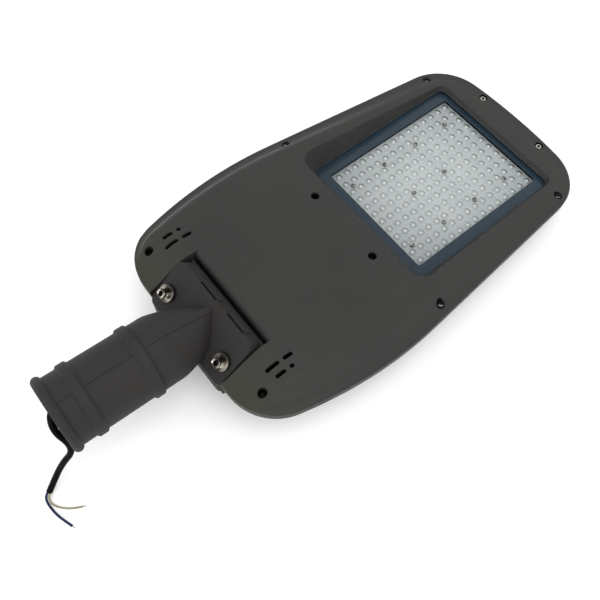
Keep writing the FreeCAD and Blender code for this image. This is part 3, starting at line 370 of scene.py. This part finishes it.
powderCoat = {
    "cover": {
        "colour": (0.031, 0.031, 0.030), "worn": (0.038, 0.038, 0.0365), "dust": (0.036, 0.0355, 0.032),
        "rough": (0.42, 0.52), "grainDepth": 0.00006, "tail": True, "holes": True,
    },
    "housing": {
        "colour": (0.026, 0.026, 0.025), "worn": (0.038, 0.038, 0.0365), "dust": (0.036, 0.0355, 0.032),
        "rough": (0.45, 0.55), "grainDepth": 0.00006, "tail": True, "holes": False,
    },
    "spigot": {
        "colour": (0.0245, 0.0235, 0.023), "worn": (0.030, 0.0285, 0.0275), "dust": (0.027, 0.023, 0.0185),
        "rough": (0.58, 0.7), "grainDepth": 0.000108, "tail": False, "holes": False,
    },
    "tail": (0.038, 0.038, 0.027), "tailReach": (-0.165, -0.11), "tailShare": 0.7,
    # Near-black painted shade for the counterbore walls and the tail screw heads
    "holeShade": (0.004, 0.004, 0.004),
    "speck": (0.08, 0.078, 0.074), "speckShare": 0.06, "wornShare": 0.55, "dustShare": 0.35,
    "grain": 1500.0, "orange": 450.0, "orangeWeight": 1.4, "edgeRound": 0.0009,
}


def screwShade(finish):
    # The walls of the screw counterbores are in shadow below the face
    shade = 0.0
    x = finish.millimetres("X")
    y = abs(finish.millimetres("Y"))
    z = finish.millimetres("Z")
    for placeX, placeY, top in screws["places"]:
        across = ((x - placeX) ** 2.0 + (y - placeY) ** 2.0) ** 0.5
        inside = 1.0 - finish.range(across, screws["wall"], screws["wall"] + screws["wallSoft"])
        shade = shade + inside * (1.0 - finish.range(z, top + screws["shadeTop"], top + screws["shadeEnd"]))
    return shade * screws["shade"]


def castFinish(part):
    coat = powderCoat[part]
    finish = Finish(part + "PowderCoat", Metallic=0.0, IOR=1.5, Specular_IOR_Level=0.1)
    cloud = finish.patches(scale=9.0, detail=3.0, low=0.35, high=0.7)
    speck = finish.patches(scale=240.0, detail=4.0, low=0.62, high=0.78, rough=0.65)
    smear = finish.patches(scale=26.0, detail=5.0, low=0.52, high=0.72, rough=0.6)
    base = finish.mix(cloud * powderCoat["wornShare"], coat["colour"], coat["worn"])
    base = finish.mix(smear * powderCoat["dustShare"], base, coat["dust"])
    if coat["tail"]:
        atTail = 1.0 - finish.range(finish.axis("X"), *powderCoat["tailReach"])
        base = finish.mix(atTail * powderCoat["tailShare"], base, powderCoat["tail"])
    base = finish.mix(speck * powderCoat["speckShare"], base, powderCoat["speck"])
    if coat["holes"]:
        base = finish.mix(screwShade(finish), base, powderCoat["holeShade"])
    grain = finish.noise(powderCoat["grain"], 2.0, 0.6)
    orange = finish.noise(powderCoat["orange"], 1.0)
    soft = finish.node("ShaderNodeBevel", {"samples": 4}, {"Radius": powderCoat["edgeRound"]})
    height = grain + powderCoat["orangeWeight"] * orange
    roughLow, roughHigh = coat["rough"]
    return finish.output(
        Base_Color=base, Roughness=roughLow + (roughHigh - roughLow) * smear,
        Normal=finish.bump(height, coat["grainDepth"], Normal=soft),
    )


# Window glass: a dark tint with hardly any body, so that the print under it shows its own colour

glass = {
    "tint": (0.02, 0.026, 0.028), "filmTint": (0.03, 0.036, 0.038), "body": 0.03, "filmBody": 0.01,
}


def glassFinish():
    finish = Finish("windowGlass", Metallic=0.0, IOR=1.5, Roughness=0.03, Specular_IOR_Level=0.1)
    film = finish.patches(scale=14.0, detail=3.0, low=0.4, high=0.75)
    tint = finish.mix(film, glass["tint"], glass["filmTint"])
    return finish.output(Base_Color=tint, Alpha=glass["body"] + glass["filmBody"] * film)


# Metals and plastics

metal = {
    "scratchScale": 420.0, "scratchStretch": (1.0, 0.12, 1.0), "scratchDepth": 0.00003, "dullShare": 0.5,
}
plastic = {"grain": 700.0, "grainDepth": 0.00003, "shine": 0.5, "lighterShare": 0.6}


def metalFinish(name, colour, dull, roughLow, roughHigh, scratchScale=metal["scratchScale"], patchesAndPaintedLight=None):
    finish = Finish(name, Metallic=1.0)
    stretch = finish.node(
        "ShaderNodeMapping", {}, {"Vector": finish.place, "Scale": metal["scratchStretch"]}
    )
    scratch = finish.node(
        "ShaderNodeTexNoise", {}, {"Vector": stretch, "Scale": scratchScale, "Detail": 4.0}, "Fac"
    )
    tarnish = finish.patches(scale=180.0, detail=4.0, low=0.45, high=0.7)
    base = finish.mix(tarnish * metal["dullShare"], colour, dull)
    # The given function adds patches and painted light to the colour
    if patchesAndPaintedLight:
        base = patchesAndPaintedLight(finish, base)
    return finish.output(
        Base_Color=base, Roughness=roughLow + (roughHigh - roughLow) * scratch,
        Normal=finish.bump(scratch, metal["scratchDepth"]),
    )


def plasticFinish(
    name, colour, lighter, roughLow, roughHigh, grain=plastic["grain"], shine=plastic["shine"]
):
    finish = Finish(name, Metallic=0.0, IOR=1.48, Specular_IOR_Level=shine)
    cloud = finish.patches(scale=60.0, detail=3.0, low=0.35, high=0.7)
    fine = finish.noise(grain, 2.0)
    base = finish.mix(cloud * plastic["lighterShare"], colour, lighter)
    return finish.output(
        Base_Color=base, Roughness=roughLow + (roughHigh - roughLow) * cloud,
        Normal=finish.bump(fine, plastic["grainDepth"]),
    )


def paintedScrewGlintsAndShade(finish, base):
    # Painted light on the screw heads: the two front heads get a painted highlight ring, those at the tail
    # are painted black as shade, and the others get a painted glint at one side
    x = finish.millimetres("X")
    y = finish.millimetres("Y")
    for placeX, placeY, _ in screws["places"]:
        dx = x - placeX
        dy = abs(y) - placeY
        across = (dx * dx + dy * dy) ** 0.5
        if placeX < screws["glintFrom"]:
            base = finish.mix(1.0 - finish.range(across, *screws["darkReach"]), base, powderCoat["holeShade"])
            continue
        ring = finish.range(across, *screws["ringInner"]) * (1.0 - finish.range(across, *screws["ringOuter"]))
        if placeX < screws["ringFrom"]:
            slant = dx + y.alone("SIGN") * dy
            glint = finish.range(slant * -screws["diagonal"], *screws["glintReach"])
            ring = ring * glint * screws["glintShare"]
        base = finish.mix(ring, base, screws["glint"])
    return base


def paintedTurnedSheen(finish, base):
    # Painted sheen: turned faces are darkened in two lobes round their axis, standing in for their
    # reflections
    tilt = math.radians(flange["tilt"])
    topX, _, topZ = flange["top"]
    x = finish.millimetres("X") - topX
    z = finish.millimetres("Z") - topZ
    along = x * -math.cos(tilt) - z * math.sin(tilt) - flange["slope"]
    across = abs(finish.millimetres("Y")) - flange["boltY"]
    neverZero = 0.01
    lobes = (across * across - along * along) * (along * along + across * across + neverZero) ** -1.0
    return finish.mix(1.0 - finish.range(lobes, *flange["lobes"]), base, flange["paintedSheenDark"])


# The lens screws are darkened in soft random patches
def lensScrewDarkPatches(finish, base):
    darkPatch = finish.patches(scale=560.0, detail=2.0, low=0.46, high=0.56)
    return finish.mix(darkPatch * lensScrews["darkPatchShare"], base, lensScrews["darkPatch"])


stainless = metalFinish("stainlessSteel", (0.50, 0.47, 0.42), (0.22, 0.20, 0.175), 0.14, 0.30)
washerSteel = metalFinish(
    "washerSteel", (0.34, 0.315, 0.27), (0.16, 0.145, 0.12), 0.2, 0.36, patchesAndPaintedLight=paintedTurnedSheen
)
boltSteel = metalFinish("boltSteel", (0.56, 0.53, 0.48), (0.26, 0.24, 0.21), 0.12, 0.26, patchesAndPaintedLight=paintedTurnedSheen)
# The cover screw heads are near-black steel, partly their own dark finish and partly painted shade for heads
# sitting deep in their counterbores
darkScrew = metalFinish(
    "darkScrew", (0.012, 0.0115, 0.011), (0.008, 0.008, 0.0075), 0.3, 0.45, patchesAndPaintedLight=paintedScrewGlintsAndShade
)
# Near-black painted shade for the inside of the hex sockets
socketPaintedShade = plasticFinish("socketShade", (0.005, 0.005, 0.005), (0.009, 0.009, 0.008), 0.6, 0.7, shine=0.1)
lensScrew = metalFinish("lensScrew", (0.40, 0.41, 0.41), (0.20, 0.205, 0.205), 0.3, 0.5, patchesAndPaintedLight=lensScrewDarkPatches)
zincSheet = metalFinish("zincSheet", (0.50, 0.52, 0.53), (0.40, 0.41, 0.42), 0.32, 0.5, scratchScale=200.0)
driverShell = metalFinish(
    "driverShell", (0.42, 0.43, 0.45), (0.34, 0.35, 0.36), 0.35, 0.5, scratchScale=160.0
)
tinnedStrand = metalFinish("tinnedStrand", (0.55, 0.54, 0.52), (0.34, 0.33, 0.31), 0.25, 0.4)
boardWhite = plasticFinish("boardWhite", (0.78, 0.80, 0.80), (0.72, 0.74, 0.74), 0.35, 0.45)
ledPhosphor = plasticFinish("ledPhosphor", (0.78, 0.62, 0.16), (0.85, 0.72, 0.25), 0.3, 0.4)
silicone = plasticFinish("siliconeSeal", (0.10, 0.10, 0.105), (0.14, 0.14, 0.145), 0.55, 0.7)
blackPlastic = plasticFinish(
    "blackPlastic", (0.008, 0.008, 0.008), (0.014, 0.014, 0.014), 0.4, 0.55, shine=0.2
)
cableSheath = plasticFinish(
    "cableSheath", (0.0025, 0.0025, 0.0027), (0.005, 0.005, 0.005), 0.22, 0.32, grain=900.0, shine=0.04
)
blueSheath = plasticFinish("blueSheath", (0.006, 0.010, 0.040), (0.010, 0.017, 0.065), 0.3, 0.4, shine=0.2)
oliveSheath = plasticFinish("oliveSheath", (0.20, 0.185, 0.105), (0.30, 0.28, 0.17), 0.35, 0.45)

nodeFinishes = {
    "front_cover": castFinish("cover"),
    "back_housing": castFinish("housing"),
    "spigot": castFinish("spigot"),
    "cover_gasket": silicone,
    "window_glass": glassFinish(),
    "glass_gasket": silicone,
    "glass_retainer": zincSheet,
    "glass_retainer_screws": stainless,
    "led_board": boardWhite,
    "led_chips": ledPhosphor,
    "lens_screws": lensScrew,
    "cover_screws": darkScrew,
    "led_driver": driverShell,
    "driver_screws": stainless,
    "terminal_block": blackPlastic,
    "pad_washers": blackPlastic,
    "flat_washers": washerSteel,
    "spring_washers": stainless,
    "spigot_bolts": stainless,
    "pole_set_screws": stainless,
    "cable_gland": blackPlastic,
}


def paint(piece, *materials):
    # Clearing the list would send every face back to the first material
    for k, material in enumerate(materials):
        if k < len(piece.data.materials):
            piece.data.materials[k] = material
        else:
            piece.data.materials.append(material)


for nodeName, material in nodeFinishes.items():
    for slotPlace in nodes[nodeName].material_slots:
        slotPlace.material = material
for piece, material in (
    (supplyCable, cableSheath), (blueWire, blueSheath), (oliveWire, oliveSheath),
    (blueCopper, tinnedStrand), (oliveCopper, tinnedStrand),
):
    paint(piece, material)
print("finishes made")


def roundedRectangle(rear, front, half, corner, steps=5):
    points = []
    for x, y, start in ((front, half, 0), (rear, half, 90), (rear, -half, 180), (front, -half, 270)):
        for k in range(steps + 1):
            angle = math.radians(start + 90 * k / steps)
            centreX = x - math.copysign(corner, x - (rear + front) / 2)
            centreY = y - math.copysign(corner, y)
            points.append((centreX + corner * math.cos(angle), centreY + corner * math.sin(angle)))
    return points


def addPrism(bm, outline, low, high):
    lower = [bm.verts.new((x * mm, y * mm, low * mm)) for x, y in outline]
    upper = [bm.verts.new((x * mm, y * mm, high * mm)) for x, y in outline]
    count = len(outline)
    for k in range(count):
        bm.faces.new((lower[k], lower[(k + 1) % count], upper[(k + 1) % count], upper[k]))
    bm.faces.new(list(reversed(lower)))
    bm.faces.new(upper)


def addFrame(bm, outer, inner, low, high):
    count = len(outer)
    rings = []
    for outline, height in ((outer, low), (outer, high), (inner, high), (inner, low)):
        rings.append([bm.verts.new((x * mm, y * mm, height * mm)) for x, y in outline])
    for k in range(4):
        first, second = rings[k], rings[(k + 1) % 4]
        for n in range(count):
            bm.faces.new((first[n], first[(n + 1) % count], second[(n + 1) % count], second[n]))


# Lens plate: a moulded sheet with one turned lens over each LED. Spot, ring and far are measured
# in millimetres from a lens's middle, and front, side and edge from the plate's

lenses = {
    "rows": 15, "columns": 12, "frontX": 257.1, "pitchX": 12.28, "pitchY": 12.5, "margin": 6.6,
    "sheetLow": 31.6, "sheetTop": 34.5, "corner": 2.0, "turns": 20, "smoothAngle": 50,
    "profile": [
        (3.90, 0.0), (3.75, 0.25), (3.40, 0.62), (2.95, 0.98), (2.45, 1.30), (1.90, 1.55),
        (1.30, 1.74), (0.70, 1.84), (0.20, 1.86),
    ],
    "rimWidth": 1.3, "rimHeight": 0.6, "rimCorner": 0.9,
    "clear": (0.425, 0.46, 0.46), "hazy": (0.48, 0.515, 0.515),
    # The spot is partly the LED seen through the lens and partly a painted highlight; the dark and edge
    # colours are painted shade
    "spotAndHighlight": (0.92, 0.93, 0.90), "spotX": -0.5, "spotY": -0.6, "spotReach": (0.4, 1.05), "spotShare": 0.85,
    "dark": (0.02, 0.02, 0.017), "ringInner": (1.6, 2.4), "ringOuter": (4.4, 5.1),
    "farWayX": 0.94, "farWayY": 0.34, "farReach": (1.5, 2.6),
    "darkShare": 0.4, "frontShare": 0.5, "sideShare": 0.35,
    "middleX": 171.1, "frontReach": (40.0, 92.0), "sideReach": (20.0, 75.0),
    "edge": (0.235, 0.26, 0.265), "edgeReach": (25.0, 75.0), "edgeStretch": 0.8, "edgeShare": 0.38,
    "mottled": (0.28, 0.31, 0.315), "mottleShare": 0.45,
    "rough": 0.22, "hazyRough": 0.08, "coat": 0.2, "hazyCoat": 0.1,
    "wholeSteps": 100, "grain": 600.0, "grainDepth": 0.00004,
}


def lensFinish():
    # Each lens gets a bright spot, partly its LED seen through it and partly a painted highlight, and painted
    # shade on its far side; the plate is painted darker towards its edges as shade
    finish = Finish("lensPolymer", Metallic=0.0, IOR=1.49, Coat_Roughness=0.05)

    def offset(name, start, pitch):
        # Distance from the nearest lens's middle
        steps = (finish.millimetres(name) - start) * (1 / pitch)
        return ((steps + (lenses["wholeSteps"] + 0.5)).alone("FRACT") - 0.5) * pitch

    x = offset("X", lenses["frontX"], lenses["pitchX"])
    y = offset("Y", lenses["pitchY"] / 2, lenses["pitchY"])
    reach = (x * x + y * y) ** 0.5
    spotX = x - lenses["spotX"]
    spotY = y - lenses["spotY"]
    spotAndHighlight = 1.0 - finish.range((spotX * spotX + spotY * spotY) ** 0.5, *lenses["spotReach"])
    ring = finish.range(reach, *lenses["ringInner"]) * (1.0 - finish.range(reach, *lenses["ringOuter"]))
    farSide = finish.range(x * lenses["farWayX"] + y * lenses["farWayY"], *lenses["farReach"])
    wholeX = finish.millimetres("X") - lenses["middleX"]
    wholeY = finish.millimetres("Y")
    nearFront = finish.range(wholeX, *lenses["frontReach"])
    nearSide = finish.range(wholeY, *lenses["sideReach"])
    # Painted shade: the plate is darker towards its edges
    edgeX = finish.range(abs(wholeX) * lenses["edgeStretch"], *lenses["edgeReach"])
    edge = edgeX + finish.range(abs(wholeY), *lenses["edgeReach"])
    haze = finish.patches(scale=30.0, detail=3.0, low=0.35, high=0.7)
    mottle = finish.patches(scale=420.0, detail=3.0, low=0.40, high=0.62, rough=0.7)
    colour = finish.mix(haze, lenses["clear"], lenses["hazy"])
    colour = finish.mix(edge * lenses["edgeShare"], colour, lenses["edge"])
    colour = finish.mix(mottle * lenses["mottleShare"], colour, lenses["mottled"])
    # Painted shade on the far side of each lens, stronger towards the front and sides
    depth = lenses["darkShare"] + lenses["frontShare"] * nearFront + lenses["sideShare"] * nearSide
    colour = finish.mix(ring * farSide * depth, colour, lenses["dark"])
    # Painted highlight, partly the LED seen through the lens: a bright spot off the lens's middle
    colour = finish.mix(spotAndHighlight * lenses["spotShare"], colour, lenses["spotAndHighlight"])
    flow = finish.noise(lenses["grain"], 1.0)
    return finish.output(
        Base_Color=colour, Roughness=lenses["rough"] + lenses["hazyRough"] * haze,
        Coat_Weight=lenses["coat"] + lenses["hazyCoat"] * haze,
        Normal=finish.bump(flow, lenses["grainDepth"]),
    )


def lensPlate():
    bm = bmesh.new()
    rear = lenses["frontX"] - lenses["pitchX"] * (lenses["rows"] - 1) - lenses["margin"]
    front = lenses["frontX"] + lenses["margin"]
    half = lenses["pitchY"] * (lenses["columns"] - 1) / 2 + lenses["margin"]
    rim = lenses["rimWidth"]
    outer = roundedRectangle(rear, front, half, lenses["corner"])
    inner = roundedRectangle(rear + rim, front - rim, half - rim, lenses["rimCorner"])
    addPrism(bm, outer, lenses["sheetLow"], lenses["sheetTop"])
    addFrame(bm, outer, inner, lenses["sheetTop"], lenses["sheetTop"] + lenses["rimHeight"])
    rings = [(radius * mm, height * mm, "round") for radius, height in lenses["profile"]]
    for i in range(lenses["rows"]):
        for j in range(lenses["columns"]):
            x = lenses["frontX"] - i * lenses["pitchX"]
            y = (j - (lenses["columns"] - 1) / 2) * lenses["pitchY"]
            place = Matrix.Translation((x * mm, y * mm, lenses["sheetTop"] * mm))
            addRings(bm, place, rings, lenses["turns"])
    piece = addPiece("lensArray", meshOf(bm, "lensArray", lenses["smoothAngle"]))
    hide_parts("lens_plate")
    paint(piece, lensFinish())


lensPlate()
print("lenses made")

# Printed border under the glass

border = {
    "outer": {"rear": 56.5, "front": 275.0, "half": 95.4, "corner": 9.5},
    "inner": {"rear": 77.0, "front": 262.4, "half": 74.6, "corner": 3.0},
    "low": 39.58, "high": 39.66, "smoothAngle": 20,
    "colour": (0.020, 0.035, 0.050), "pale": (0.025, 0.042, 0.058), "paleShare": 0.5,
    "rough": 0.08, "paleRough": 0.02,
}


def printFinish():
    finish = Finish("glassPrint", Metallic=0.0, IOR=1.5, Specular_IOR_Level=0.25)
    shade = finish.patches(scale=40.0, detail=3.0, low=0.35, high=0.7)
    colour = finish.mix(shade * border["paleShare"], border["colour"], border["pale"])
    return finish.output(Base_Color=colour, Roughness=border["rough"] + border["paleRough"] * shade)


def glassPrint():
    bm = bmesh.new()
    outer = roundedRectangle(**border["outer"])
    inner = roundedRectangle(**border["inner"])
    addFrame(bm, outer, inner, border["low"], border["high"])
    piece = addPiece("glassPrint", meshOf(bm, "glassPrint", border["smoothAngle"]))
    paint(piece, printFinish())


glassPrint()
print("glass border made")


def onFlange(y, out):
    tilt = math.radians(flange["tilt"])
    slopeWay = Vector((-math.cos(tilt), 0, -math.sin(tilt)))
    outWay = Vector((-math.sin(tilt), 0, math.cos(tilt)))
    foot = Vector(flange["top"]) + slopeWay * flange["slope"] + Vector((0, y, 0)) + outWay * out
    axes = Matrix((slopeWay, Vector((0, -1, 0)), outWay)).transposed().to_4x4()
    return Matrix.Translation(foot * mm) @ axes


def scaled(rings):
    return [(radius * mm, height * mm, kind) for radius, height, kind in rings]


def addSplitRing(bm, place):
    thick = flange["spring"] * mm
    inner, outer = bolts["springInner"] * mm, bolts["springOuter"] * mm
    steps = bolts["springSteps"]
    loops = []
    for k in range(steps + 1):
        share = k / steps
        angle = math.radians(bolts["springGap"] + share * (360 - 2 * bolts["springGap"]))
        low = share * bolts["springPitch"] * mm
        loop = []
        for radius, height in ((inner, low), (outer, low), (outer, thick), (inner, thick)):
            loop.append(roundVertex(bm, place, radius, angle, height))
        loops.append(loop)
    for before, after in zip(loops, loops[1:]):
        for k in range(4):
            bm.faces.new((before[k], before[(k + 1) % 4], after[(k + 1) % 4], after[k]))
    bm.faces.new(list(reversed(loops[0])))
    bm.faces.new(loops[-1])


def flangeFasteners():
    made = {name: bmesh.new() for name in ("flangeWashers", "springWashers", "flangeBolts")}
    for side in (-1, 1):
        y = side * flange["boltY"]
        low = flange["face"] + flange["pad"]
        washer, head = scaled(bolts["washer"]), scaled(bolts["head"])
        addRings(made["flangeWashers"], onFlange(y, low), washer, bolts["points"], closed=False)
        addSplitRing(made["springWashers"], onFlange(y, low + flange["washer"]))
        seat = onFlange(y, low + flange["washer"] + flange["spring"])
        addRings(made["flangeBolts"], seat, head, bolts["points"], dark=bolts["socketFrom"])
    bmesh.ops.remove_doubles(made["flangeWashers"], verts=made["flangeWashers"].verts, dist=0.01 * mm)
    for name, node, material in (
        ("flangeWashers", "flat_washers", washerSteel), ("springWashers", "spring_washers", boltSteel),
        ("flangeBolts", "spigot_bolts", boltSteel),
    ):
        piece = addPiece(name, meshOf(made[name], name))
        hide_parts(node)
        paint(piece, material, socketPaintedShade)


def coverScrews():
    bm = bmesh.new()
    for x, y, top in screws["places"]:
        for side in (1, -1):
            place = Matrix.Translation(Vector((x, side * y, top)) * mm)
            addRings(bm, place, scaled(screws["head"]), screws["points"], dark=screws["socketFrom"])
    piece = addPiece("coverScrewHeads", meshOf(bm, "coverScrewHeads"))
    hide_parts("cover_screws")
    paint(piece, darkScrew, socketPaintedShade)


flangeFasteners()
coverScrews()
print("fasteners made")

for nodeName in ("front_cover", "back_housing", "spigot"):
    smooth(nodes[nodeName].data, smoothAngles["cast"])

# Floor and light

studio = {
    "floor": 6.0,
    "floorColour": (0.94, 0.94, 0.94),
    "world": 1.1,
    "target": (0.0, 0.0, 0.05),
    "lights": [
        ("keyLight", (-0.1, -0.5, 1.7), 1.1, 10.0, (1.0, 0.99, 0.97)),
        ("fillLight", (-1.5, -0.1, 0.9), 1.0, 5.0, (0.97, 0.98, 1.0)),
    ],
}
floorMesh = bpy.data.meshes.new("floor")
half = studio["floor"] / 2
floorCorners = [(-half, -half, 0), (half, -half, 0), (half, half, 0), (-half, half, 0)]
floorMesh.from_pydata(floorCorners, [], [(0, 1, 2, 3)])
floor = bpy.data.objects.new("floor", floorMesh)
scene.collection.objects.link(floor)
floorFinish = Finish("paleFloor", Roughness=0.9, Base_Color=studio["floorColour"])
floorMesh.materials.append(floorFinish.material)


def softLight(name, place, width, power, colour):
    data = bpy.data.lights.new(name, "AREA")
    data.size = width
    data.energy = power
    data.color = colour
    light = bpy.data.objects.new(name, data)
    scene.collection.objects.link(light)
    light.location = place
    way = Vector(studio["target"]) - Vector(place)
    light.rotation_euler = way.to_track_quat("-Z", "Y").to_euler()


for lightValues in studio["lights"]:
    softLight(*lightValues)
world = bpy.data.worlds.new("studio")
world.use_nodes = True
sky = world.node_tree.nodes["Background"]
sky.inputs["Color"].default_value = (1.0, 1.0, 1.0, 1.0)
sky.inputs["Strength"].default_value = studio["world"]
scene.world = world
print("studio lit")

bpy.context.evaluated_depsgraph_get().update()
